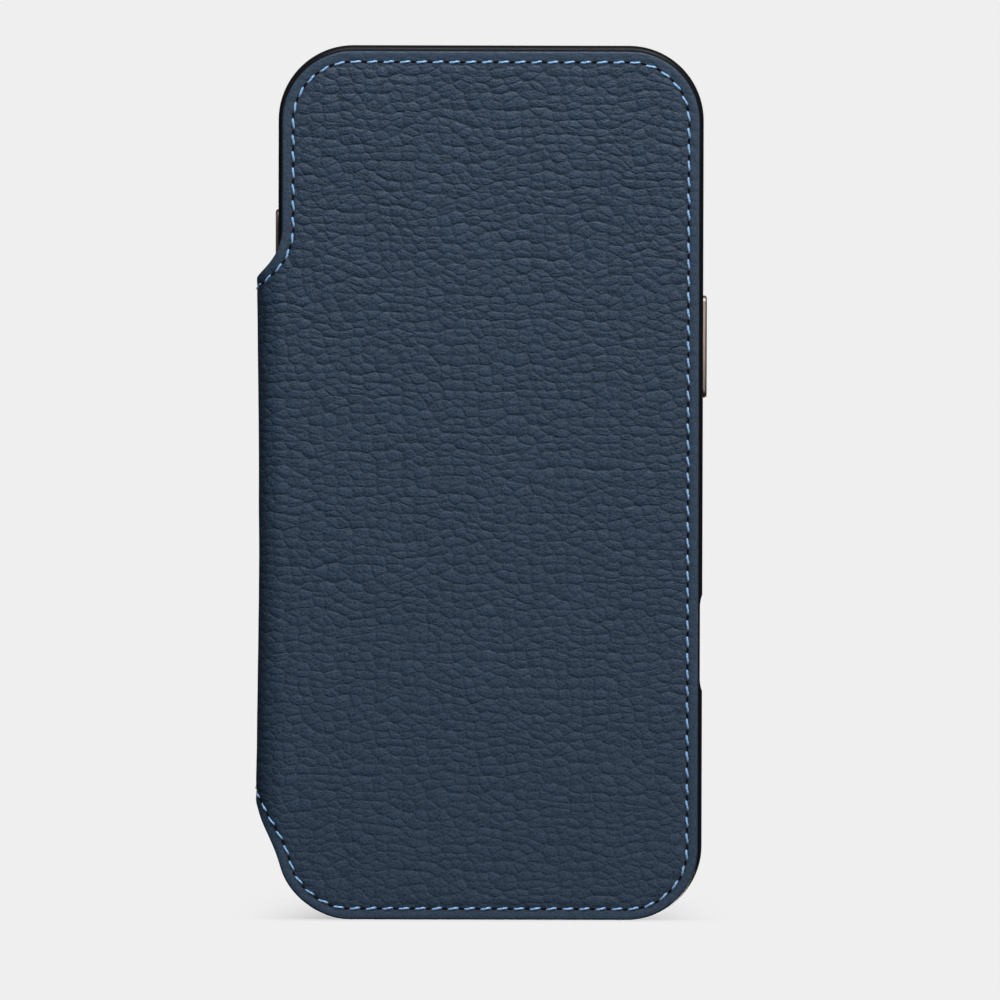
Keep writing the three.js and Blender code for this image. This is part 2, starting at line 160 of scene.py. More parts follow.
# Matt backdrop paper: one flat pale grey with no visible corner.
room_radius = 6.0
backdrop_glow = 0.864
floor_disc = bmesh.new()
bmesh.ops.create_circle(floor_disc, cap_ends=True, segments=96, radius=room_radius)
bmesh.ops.recalc_face_normals(floor_disc, faces=floor_disc.faces[:])
dome = bmesh.new()
bmesh.ops.create_icosphere(dome, subdivisions=5, radius=room_radius * 0.99)
bmesh.ops.reverse_faces(dome, faces=dome.faces[:])
for name, shape in (("studio_floor", floor_disc), ("studio_dome", dome)):
    mesh = bpy.data.meshes.new(name)
    shape.to_mesh(mesh)
    shape.free()
    mesh.shade_smooth()
    paper = blank_material(name + " paper")
    fibre = add_node(paper, "ShaderNodeTexNoise", {"Scale": 40.0, "Detail": 2.0})
    soft = add_node(paper, "ShaderNodeMapRange", {
        "Value": fibre.outputs["Fac"], "To Min": backdrop_glow * 0.999,
        "To Max": backdrop_glow * 1.001})
    if name == "studio_floor":
        soft = foot_shade(paper, soft)
    shader = add_node(paper, "ShaderNodeBsdfPrincipled", {
        "Base Color": linear("#000000"), "Roughness": 1.0, "Specular IOR Level": 0.0,
        "Emission Color": linear("#ffffff"), "Emission Strength": soft.outputs[0]})
    put_on(paper, shader)
    mesh.materials.append(paper)
    room = bpy.data.objects.new(name, mesh)
    room.visible_diffuse = False
    room.visible_glossy = False
    room.visible_transmission = False
    room.visible_shadow = False
    scene.collection.objects.link(room)

world = bpy.data.worlds.new("studio")
world.use_nodes = True
world.node_tree.nodes["Background"].inputs["Color"].default_value = linear("#dfe6f0")
world.node_tree.nodes["Background"].inputs["Strength"].default_value = 0.035
scene.world = world


def softbox(name, place, target, width, height, power):
    """A rectangular soft light at a place, turned to a target."""
    data = bpy.data.lights.new(name, "AREA")
    data.shape = "RECTANGLE"
    data.size = width
    data.size_y = height
    data.energy = power
    light = bpy.data.objects.new(name, data)
    light.location = place
    light.rotation_euler = (Vector(target) - Vector(place)).to_track_quat("-Z", "Y").to_euler()
    scene.collection.objects.link(light)


softbox("front_softbox", (0.12, -0.42, 0.85), (0.0, 0.0, 0.08), 0.75, 0.4, 9.1)
softbox("back_softbox", (0.12, 0.75, -0.38), (0.0, 0.0, 0.08), 0.8, 0.34, 7.2)
softbox("left_fill", (-1.1, -0.45, 0.45), (0.0, 0.0, 0.1), 0.4, 0.6, 1.2)
softbox("low_fill", (0.5, -1.2, 0.25), (0.0, 0.0, 0.06), 0.7, 0.5, 4.5)


# ---- Holder shell ----
# The tray that grips the phone: moulded in one piece, satin near-black plastic, with a lip all
# round its front, slots in its walls and a raised rim round the camera opening in its back.
def plate(corners, near, far):
    """A flat plate drawn in (x, z) with corners of (x, z, rounding), from y = near to y = far."""
    shape = bmesh.new()
    points = [shape.verts.new((x, near, z)) for x, z, rounding in corners]
    shape.faces.new(points)
    for point, (x, z, rounding) in zip(points, corners):
        if rounding:
            steps = max(4, math.ceil(rounding / (0.7 * mm)))
            bmesh.ops.bevel(
                shape, geom=[point], offset=rounding, offset_type="OFFSET", segments=steps,
                profile=0.5, affect="VERTICES", material=-1)
    grown = bmesh.ops.extrude_face_region(shape, geom=shape.faces[:], use_keep_orig=True)
    far_verts = [v for v in grown["geom"] if isinstance(v, bmesh.types.BMVert)]
    bmesh.ops.translate(shape, verts=far_verts, vec=(0.0, far - near, 0.0))
    bmesh.ops.recalc_face_normals(shape, faces=shape.faces[:])
    return shape


def rounded(low_x, low_z, high_x, high_z, rounding):
    """The corners of a rectangle whose four corners have one rounding."""
    return [(low_x, low_z, rounding), (high_x, low_z, rounding),
            (high_x, high_z, rounding), (low_x, high_z, rounding)]


def ease_edges(shape, width, steps, sharper_than=50.0):
    """Rounds every edge that is sharper than an angle."""
    sharp = [e for e in shape.edges
             if e.is_manifold and e.calc_face_angle() > math.radians(sharper_than)]
    bmesh.ops.bevel(
        shape, geom=sharp, offset=width, offset_type="OFFSET", segments=steps, profile=0.5,
        affect="EDGES", material=-1)


def turned(shape, axis, degrees):
    """The shape turned about the origin, so that a plate can lie across another axis."""
    turn = Matrix.Rotation(math.radians(degrees), 3, axis)
    bmesh.ops.rotate(shape, cent=(0.0, 0.0, 0.0), matrix=turn, verts=shape.verts[:])
    return shape


def cut_away(shape, cutters, operation="DIFFERENCE"):
    """The shape with each cutter taken out of it, or joined on to it."""
    objects = []
    for solid in [shape] + cutters:
        mesh = bpy.data.meshes.new("working")
        solid.to_mesh(mesh)
        solid.free()
        objects.append(bpy.data.objects.new("working", mesh))
        scene.collection.objects.link(objects[-1])
    for cutter in objects[1:]:
        modifier = objects[0].modifiers.new("cut", "BOOLEAN")
        modifier.solver = "EXACT"
        modifier.operation = operation
        modifier.object = cutter
    made = objects[0].evaluated_get(bpy.context.evaluated_depsgraph_get()).to_mesh()
    result = bmesh.new()
    result.from_mesh(made)
    for old in objects:
        mesh = old.data
        bpy.data.objects.remove(old)
        bpy.data.meshes.remove(mesh)
    return result


def finished(shape, name, materials, body="", stands_for=(), crease=40.0):
    """The shape as a piece: smooth between creases, with its finishes and body, hiding the model parts it
    stands for.
    """
    mesh = bpy.data.meshes.new(name)
    shape.to_mesh(mesh)
    shape.free()
    for material in materials:
        mesh.materials.append(material)
    mesh.shade_smooth()
    mesh.set_sharp_from_angle(angle=math.radians(crease))
    piece = bpy.data.objects.new(name, mesh)
    scene.collection.objects.link(piece)
    if stands_for:
        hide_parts(*stands_for)
    if body:
        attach(piece, body)
    return piece


holder_low, holder_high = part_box("holder_shell")
holder_wall = 1.4 * mm
holder_corner = 14.2 * mm
lip_reach = 0.9 * mm
lip_depth = 0.8 * mm
plate_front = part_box("holder_lining")[1].y + 0.05 * mm
plate_back = plate_front + 1.35 * mm
middle_x = (holder_low.x + holder_high.x) / 2


def holder_outline(inset):
    """The corners of the holder's outline, moved inwards."""
    return rounded(holder_low.x + inset, holder_low.z + inset, holder_high.x - inset,
                   holder_high.z - inset, holder_corner - inset)


openings = {o["name"]: o["box_m"] for o in frame["record"]["physics"]["openings"]}
camera_wide = openings["camera_opening_wide"]
camera_tall = openings["camera_opening_tall"]
camera_gap = 0.1 * mm
camera_low = Vector((camera_wide[0][0] - camera_gap, 0.0, camera_tall[0][2] - camera_gap))
camera_high = Vector((camera_wide[1][0] + camera_gap, 0.0, camera_tall[1][2] + camera_gap))
camera_corner = 11.0 * mm
camera_rim = 0.8 * mm


def camera_outline(grow):
    """The corners of the camera opening, moved outwards."""
    return rounded(camera_low.x - grow, camera_low.z - grow, camera_high.x + grow,
                   camera_high.z + grow, camera_corner + grow)


def across(width, length, corner, low_x, high_x, y, z):
    """A round-cornered block that runs along x, with its width along y and its length along z."""
    half_w, half_l = width / 2, length / 2
    block = turned(plate(rounded(-half_w, -half_l, half_w, half_l, corner), low_x, high_x), "Z", -90.0)
    bmesh.ops.translate(block, verts=block.verts[:], vec=(0.0, y, z))
    return block


def upright(width, length, corner, low_z, high_z, x, y):
    """A round-cornered block that runs up z, with its length along x and its width along y."""
    half_w, half_l = width / 2, length / 2
    block = turned(plate(rounded(-half_l, -half_w, half_l, half_w, corner), low_z, high_z), "X", 90.0)
    bmesh.ops.translate(block, verts=block.verts[:], vec=(x, y, 0.0))
    return block


wall_reach = 3.0 * mm
shell_rounding = 1.25 * mm
rim_rounding = 0.3 * mm
key_clearance = 0.2 * mm
key_width = 3.2 * mm
key_flange = 0.5 * mm
side_y = 1.175 * mm
shell = plate(holder_outline(0.0), holder_low.y, plate_back)
ease_edges(shell, shell_rounding, 5)
rim_body = plate(camera_outline(camera_rim), plate_front + 0.3 * mm, holder_high.y)
ease_edges(rim_body, rim_rounding, 3)
shell = cut_away(shell, [rim_body], "UNION")
cutters = [
    plate(holder_outline(holder_wall), holder_low.y + lip_depth, plate_front),
    plate(holder_outline(holder_wall + lip_reach), holder_low.y - wall_reach,
          holder_low.y + lip_depth + 0.1 * mm),
    plate(camera_outline(0.0), 0.0, holder_high.y + wall_reach),
]
key_bodies = {"power_key": "power_key_cap", "action_key": "action_key_cap",
              "volume_up_key": "volume_up_cap", "volume_down_key": "volume_down_cap"}
for name in key_bodies:
    key_low, key_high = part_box(name)
    length = key_high.z - key_low.z - 2 * key_flange + 2 * key_clearance
    width = key_width + 2 * key_clearance
    right = key_low.x > 0
    start = holder_high.x - wall_reach if right else holder_low.x - wall_reach
    cutters.append(across(width, length, width / 2 * 0.999, start, start + 2 * wall_reach,
                          side_y, (key_low.z + key_high.z) / 2))
# The slot for the touch key low on the right, and the finger scoop round it.
touch_z = 52.8 * mm
touch_width = 3.2 * mm
touch_length = 15.5 * mm
touch_corner = 1.59 * mm
scoop_half = 9.2 * mm
scoop_depth = 0.45 * mm
scoop_ramp = 1.2 * mm
cutters.append(across(touch_width, touch_length, touch_corner, holder_high.x - wall_reach,
                      holder_high.x + wall_reach, side_y, touch_z))
scoop_floor = holder_high.x - scoop_depth
scoop_out = holder_high.x + wall_reach
cutters.append(plate([
    (scoop_floor, touch_z - scoop_half + scoop_ramp, 1.0 * mm),
    (holder_high.x + 0.01 * mm, touch_z - scoop_half, 0.0),
    (scoop_out, touch_z - scoop_half, 0.0),
    (scoop_out, touch_z + scoop_half, 0.0),
    (holder_high.x + 0.01 * mm, touch_z + scoop_half, 0.0),
    (scoop_floor, touch_z + scoop_half - scoop_ramp, 1.0 * mm),
], holder_low.y - wall_reach, holder_high.y))
# The charging opening in the foot, with a speaker slot on each side of it.
foot_cut = holder_wall + 0.05 * mm
speaker_away = 17.0 * mm
cutters.append(upright(6.4 * mm, 13.0 * mm, 3.19 * mm, -wall_reach, foot_cut, middle_x, side_y))
for side in (-1, 1):
    cutters.append(upright(2.2 * mm, 9.0 * mm, 1.09 * mm, -wall_reach, foot_cut,
                           middle_x + side * speaker_away, side_y))
# The two beds that the steel strikes are glued in.
strike_clearance = 0.2 * mm
for name in ("holder_strike_lower", "holder_strike_upper"):
    strike_low, strike_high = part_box(name)
    strike_width = strike_high.y - strike_low.y + strike_clearance
    cutters.append(across(strike_width, strike_high.z - strike_low.z + strike_clearance, 0.6 * mm,
                          strike_low.x - 1.5 * mm, strike_high.x + 0.03 * mm,
                          (strike_low.y + strike_high.y) / 2, (strike_low.z + strike_high.z) / 2))
shell = cut_away(shell, cutters)

# Moulded plastic: near black, with a very fine mould texture that keeps its highlights faint.
moulding = blank_material("moulded black plastic")
place = add_node(moulding, "ShaderNodeTexCoord")
mould_texture = add_node(moulding, "ShaderNodeTexNoise", {
    "Vector": place.outputs["Object"], "Scale": 1 / (0.35 * mm), "Detail": 2.0})
mould_smudge = add_node(moulding, "ShaderNodeTexNoise", {
    "Vector": place.outputs["Object"], "Scale": 1 / (14.0 * mm), "Detail": 3.0})
mould_rough = add_node(moulding, "ShaderNodeMapRange", {
    "Value": mould_smudge.outputs["Fac"], "From Min": 0.3, "From Max": 0.7, "To Min": 0.28, "To Max": 0.38})
mould_bump = add_node(moulding, "ShaderNodeBump", {
    "Height": mould_texture.outputs["Fac"], "Strength": 0.25, "Distance": 0.02 * mm})
mould_shader = add_node(moulding, "ShaderNodeBsdfPrincipled", {
    "Base Color": linear("#17181b"), "Roughness": mould_rough.outputs["Result"],
    "IOR": 1.5, "Specular IOR Level": 0.08, "Normal": mould_bump.outputs["Normal"]})
put_on(moulding, mould_shader)
finished(shell, "phone_holder", [moulding], "holder", ["holder_shell"], crease=32.0)


# ---- Steel strikes ----
# Two short bars of bright mild steel glued in the holder's right wall, which the cover's magnets
# pull to. They stay as they are in the model. Fine lines from drawing run along their length.
steel = blank_material("drawn steel")
place = add_node(steel, "ShaderNodeTexCoord")
stretch = add_node(steel, "ShaderNodeMapping", {
    "Vector": place.outputs["Object"], "Scale": (8.0, 8.0, 0.4)})
draw_lines = add_node(steel, "ShaderNodeTexNoise", {
    "Vector": stretch.outputs["Vector"], "Scale": 1 / (1.0 * mm), "Detail": 3.0})
draw_rough = add_node(steel, "ShaderNodeMapRange", {
    "Value": draw_lines.outputs["Fac"], "To Min": 0.28, "To Max": 0.48})
draw_bump = add_node(steel, "ShaderNodeBump", {
    "Height": draw_lines.outputs["Fac"], "Strength": 0.3, "Distance": 0.01 * mm})
steel_shader = add_node(steel, "ShaderNodeBsdfPrincipled", {
    "Base Color": linear("#a9abad"), "Metallic": 1.0, "Roughness": draw_rough.outputs["Result"],
    "Normal": draw_bump.outputs["Normal"]})
put_on(steel, steel_shader)


def refinish(node_name, material):
    """Gives a model node, kept as it is, its finish."""
    mesh = frame["nodes"][node_name].data
    mesh.materials.clear()
    mesh.materials.append(material)


refinish("holder_strike_lower", steel)
refinish("holder_strike_upper", steel)


# ---- Holder lining ----
# A thin pad of microfibre glued to the holder's back plate, under the phone, cut out round the
# camera opening.
pad_low, pad_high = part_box("holder_lining")
pad_inset = pad_low.x - holder_low.x
pad = plate(holder_outline(pad_inset), pad_low.y, pad_high.y)
pad = cut_away(pad, [plate(camera_outline(camera_rim), 0.0, holder_high.y)])
ease_edges(pad, 0.1 * mm, 2)


def microfibre_finish(name, colour, tint):
    """Brushed microfibre: matt, with a soft sheen, a short nap and patches brushed two ways."""
    material = blank_material(name)
    place = add_node(material, "ShaderNodeTexCoord")
    nap = add_node(material, "ShaderNodeTexNoise", {
        "Vector": place.outputs["Object"], "Scale": 1 / (0.22 * mm), "Detail": 4.0, "Roughness": 0.7})
    patches = add_node(material, "ShaderNodeTexNoise", {
        "Vector": place.outputs["Object"], "Scale": 1 / (11.0 * mm), "Detail": 2.0})
    both = add_node(material, "ShaderNodeMath", {0: nap.outputs["Fac"], 1: patches.outputs["Fac"]},
                    operation="MULTIPLY")
    shade = add_node(material, "ShaderNodeMapRange", {
        "Value": both.outputs["Value"], "From Min": 0.15, "From Max": 0.4})
    colours = add_node(material, "ShaderNodeMix", {
        "Factor": shade.outputs["Result"], "A": linear(colour), "B": linear(tint)}, data_type="RGBA")
    bump = add_node(material, "ShaderNodeBump", {
        "Height": nap.outputs["Fac"], "Strength": 0.5, "Distance": 0.08 * mm})
    shader = add_node(material, "ShaderNodeBsdfPrincipled", {
        "Base Color": colours.outputs["Result"], "Roughness": 0.92, "Sheen Weight": 0.35,
        "Sheen Roughness": 0.45, "Normal": bump.outputs["Normal"]})
    put_on(material, shader)
    return material


microfibre = microfibre_finish("navy microfibre", "#232c38", "#35414f")
finished(pad, "holder_pad", [microfibre], "holder", ["holder_lining"])


# ---- Keys ----
# Four small aluminium caps, each a stadium-shaped bar with a flange behind the wall that keeps it
# in. They are bead blasted, anodised a warm grey and slide a little way in when pressed. The
# blasting breaks their shine into a soft warm band.
anodised = blank_material("anodised aluminium")
place = add_node(anodised, "ShaderNodeTexCoord")
blasting = add_node(anodised, "ShaderNodeTexNoise", {
    "Vector": place.outputs["Object"], "Scale": 1 / (0.12 * mm), "Detail": 2.0})
blast_rough = add_node(anodised, "ShaderNodeMapRange", {
    "Value": blasting.outputs["Fac"], "To Min": 0.4, "To Max": 0.52})
blast_bump = add_node(anodised, "ShaderNodeBump", {
    "Height": blasting.outputs["Fac"], "Strength": 0.3, "Distance": 0.01 * mm})
anodised_shader = add_node(anodised, "ShaderNodeBsdfPrincipled", {
    "Base Color": linear("#9a8d82"), "Metallic": 1.0, "Roughness": blast_rough.outputs["Result"],
    "Normal": blast_bump.outputs["Normal"]})
put_on(anodised, anodised_shader)
flange_thickness = 0.5 * mm
cap_rounding = 0.42 * mm
cap_setback = 0.02 * mm
for name, body in key_bodies.items():
    key_low, key_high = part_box(name)
    key_z = (key_low.z + key_high.z) / 2
    full_length = key_high.z - key_low.z
    full_width = key_high.y - key_low.y
    right = key_low.x > 0
    flange_from = key_low.x if right else key_high.x - flange_thickness
    cap = across(key_width, full_length - 2 * key_flange, key_width / 2 * 0.999,
                 key_low.x + cap_setback, key_high.x - cap_setback * (not right), side_y, key_z)
    ease_edges(cap, cap_rounding, 3)
    flange = across(full_width, full_length, full_width / 2 * 0.999, flange_from,
                    flange_from + flange_thickness, side_y, key_z)
    cap = cut_away(cap, [flange], "UNION")
    finished(cap, body + "_bar", [anodised], body, [name])


# ---- Leather skin ----
# One piece of pebbled navy leather is the cover's face, the spine and the back. It is cut flat,
# its edges are rounded and painted, a row of stitches is sunk 2 mm inside them, and it is bent
# round the spine. It is drawn flat here too: u runs across from the middle of the spine, to the
# right over the cover and to the left over the back, and w is the depth below its outer face.
cover_low, cover_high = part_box("cover_leather")
back_low, back_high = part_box("back_leather")
spine_low, spine_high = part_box("spine_leather")
bend_radius = 5.0 * mm
fold_x = spine_low.x + bend_radius
spine_middle_y = (cover_low.y + back_high.y) / 2
spine_flat = (back_high.y - cover_low.y) / 2 - bend_radius
bend_length = bend_radius * math.pi / 2
bend_end = spine_flat + bend_length
cover_right = bend_end + cover_high.x - fold_x
cover_left = bend_end + holder_low.x + 0.5 * mm - fold_x
spine_top = 122.2 * mm
spine_foot = 22.9 * mm
leather_depth = 1.1 * mm
cover_depth = 1.65 * mm
spine_bow = 0.55 * mm
cover_drop = 0.25 * mm
foot_longer = 0.28 * mm


def around_spine(u, w, z):
    """Where a point of the flat leather lies once it is bent round the spine."""
    side = 1 if u >= 0 else -1
    run = abs(u)
    height = min(max((z - spine_foot) / (spine_top - spine_foot), 0.0), 1.0)
    near_spine = 1.0 - min(max((run - spine_flat) / bend_length, 0.0), 1.0)
    bow = spine_bow * math.sin(math.pi * height) * near_spine ** 2 * (3 - 2 * near_spine)
    if run <= spine_flat:
        return (spine_low.x + w + bow, spine_middle_y - u, z)
    if run <= bend_end:
        angle = (run - spine_flat) / bend_radius
        radius = bend_radius - w
        return (fold_x - radius * math.cos(angle) + bow,
                spine_middle_y - side * (spine_flat + radius * math.sin(angle)), z)
    return (fold_x + run - bend_end, spine_middle_y - side * (spine_flat + bend_radius - w), z)


def skin_corners(shrink=0.0):
    """The flat leather's outline, counter-clockwise from the foot of the cover."""
    right = cover_right - shrink
    top = cover_high.z - shrink - cover_drop
    foot = cover_low.z + shrink - cover_drop - foot_longer
    left = cover_left + shrink
    corner = 13.7 * mm - shrink
    half = [
        (3.9 * mm - 0.5 * shrink, spine_foot + shrink, 3.0 * mm),
        (9.19 * mm + 0.9 * shrink, 14.6 * mm + 0.4 * shrink, 3.0 * mm),
        (14.0 * mm + 0.7 * shrink, foot, 9.8 * mm),
        (right, foot, corner),
        (right, top, corner),
        (left, top, corner),
        (left, spine_top - shrink, 9.3 * mm),
    ]
    return half + [(-u, z, rounding) for u, z, rounding in reversed(half)]


def thicker(u):
    """How far a point is from the spine's single leather to the cover's full build-up, 0 to 1."""
    share = min(max((u - cover_left - 0.6 * mm) / (2.5 * mm), 0.0), 1.0)
    return share * share * (3 - 2 * share)


def cut_lines(shape, places, normal):
    """Divides the flat sheet along straight lines, so that it can bend and swell."""
    for place in places:
        bmesh.ops.bisect_plane(
            shape, geom=shape.verts[:] + shape.edges[:] + shape.faces[:], dist=1e-7,
            plane_co=Vector(normal) * place, plane_no=normal)


def spaced(start, end, step):
    """Evenly spaced places from start to end, both included."""
    count = max(1, round((end - start) / step))
    return [start + (end - start) * i / count for i in range(count + 1)]


def divide(shape, right, top):
    """Fine divisions over both bends, coarse ones elsewhere."""
    bend = spaced(spine_flat - 0.3 * mm, bend_end + 0.3 * mm, 0.6 * mm)
    beyond = spaced(bend_end + 2.0 * mm, right - 0.7 * mm, 2.6 * mm)
    half = bend + beyond + [1.1 * mm, 2.2 * mm]
    cut_lines(shape, half + [-u for u in half], (1.0, 0.0, 0.0))
    cut_lines(shape, spaced(2.0 * mm, top - 1.4 * mm, 2.8 * mm), (0.0, 0.0, 1.0))


def cut_off(shape, u, keep_right):
    """Cuts a flat sheet across, keeps one side and closes the cut."""
    bmesh.ops.bisect_plane(
        shape, geom=shape.verts[:] + shape.edges[:] + shape.faces[:], dist=1e-7,
        plane_co=(u, 0.0, 0.0), plane_no=(1.0, 0.0, 0.0),
        clear_inner=keep_right, clear_outer=not keep_right)
    bmesh.ops.holes_fill(shape, edges=[e for e in shape.edges if e.is_boundary], sides=0)


def half_of(shape, cover_side):
    """The half of a flat sheet on the cover's side of the middle of the spine, or on the back's."""
    half = shape.copy()
    cut_off(half, 0.0, cover_side)
    return half


def bend_round(shape):
    """Bends a flat sheet round the spine."""
    for vertex in shape.verts:
        vertex.co = around_spine(*vertex.co)


trim = 0.3 * mm
eased = 0.42 * mm
stitch_inset = 2.12 * mm
skin = plate(skin_corners(trim), 0.0, cover_depth)
ease_edges(skin, eased, 4)
# Rings inside the edge, each vertex keeping its distance from the edge for the seam and the grain.
from_edge = skin.verts.layers.float.new("from_edge")
face = max((f for f in skin.faces if f.normal.y < -0.9), key=lambda f: f.calc_area())
ring_steps = [0.5 * mm, 0.7 * mm, 0.5 * mm, 0.5 * mm, 0.6 * mm, 0.8 * mm]
for vertex in skin.verts:
    vertex[from_edge] = 0.0
for vertex in face.verts:
    vertex[from_edge] = eased
inset_so_far = eased
stitch_line = []
for step in ring_steps:
    bmesh.ops.inset_region(skin, faces=[face], thickness=step, use_even_offset=True)
    inset_so_far += step
    for vertex in face.verts:
        vertex[from_edge] = inset_so_far
    if abs(inset_so_far - stitch_inset) < 0.01 * mm:
        stitch_line = [(v.co.x, v.co.z) for v in face.verts]
for f in skin.faces:
    f.material_index = 1 if f.normal.y > -0.8 and f.normal.y < 0.95 else 0

# The camera hole, cut round the holder's rim. Its edge keeps the grain of the leather round it.
hole_grow = camera_rim + 0.2 * mm
hole_margin = 2.5 * mm
hole_rounding = 0.35 * mm
hole = [(-(bend_end + x - fold_x), z, rounding) for x, z, rounding in camera_outline(hole_grow)]
skin = cut_away(skin, [plate(list(reversed(hole)), -1.0 * mm, 3.0 * mm)])
from_edge = skin.verts.layers.float["from_edge"]
hole_left = -(bend_end + camera_high.x - fold_x) - hole_margin
hole_right = -(bend_end + camera_low.x - fold_x) + hole_margin
for vertex in skin.verts:
    u, w, z = vertex.co
    nearest = min(cover_right - trim - abs(u), cover_high.z - trim - cover_drop - z)
    if (hole_left < u < hole_right and z > camera_low.z - hole_margin
            and vertex[from_edge] < 0.01 * mm and nearest > 0.6 * mm):
        vertex[from_edge] = min(nearest, inset_so_far)
hole_edges = [e for e in skin.edges if e.is_manifold and e.calc_face_angle() > math.radians(60)
              and e.verts[0].co.x < -20 * mm
              and min(v[from_edge] for v in e.verts) > 2.5 * mm and e.verts[0].co.y < 0.5 * mm]
bmesh.ops.bevel(
    skin, geom=hole_edges, offset=hole_rounding, offset_type="OFFSET", segments=3, profile=0.5,
    affect="EDGES", material=-1)
divide(skin, cover_right, cover_high.z)
from_edge = skin.verts.layers.float["from_edge"]
flat_map = skin.loops.layers.uv.new("flat")
for f in skin.faces:
    for loop in f.loops:
        loop[flat_map].uv = (loop.vert.co.x, loop.vert.co.z)
# The seam is pulled in along the stitches, the leather inside it swells a little and ripples, and
# the thickness goes from the single leather of the spine to the full build-up of the cover.
seam_depth = 0.13 * mm
swell = 0.07 * mm
for vertex in skin.verts:
    u, w, z = vertex.co
    share = w / cover_depth
    edge = vertex[from_edge]
    near_face = max(0.0, 1.0 - w / (0.5 * mm))
    sunk = seam_depth * math.exp(-((edge - stitch_inset) / (0.5 * mm)) ** 2)
    inside = min(max((edge - 2.4 * mm) / (2.0 * mm), 0.0), 1.0)
    ripple = 0.10 * mm * noise.noise(Vector((u, 0.0, z)) / (17.0 * mm)) * inside
    ripple += 0.05 * mm * noise.noise(Vector((u, 4.0, z)) / (6.0 * mm)) * inside
    full = leather_depth + (cover_depth - leather_depth) * thicker(u)
    vertex.co.y = share * full + near_face * (sunk - swell * inside - ripple)
cover_skin = half_of(skin, True)
back_skin = half_of(skin, False)
skin.free()


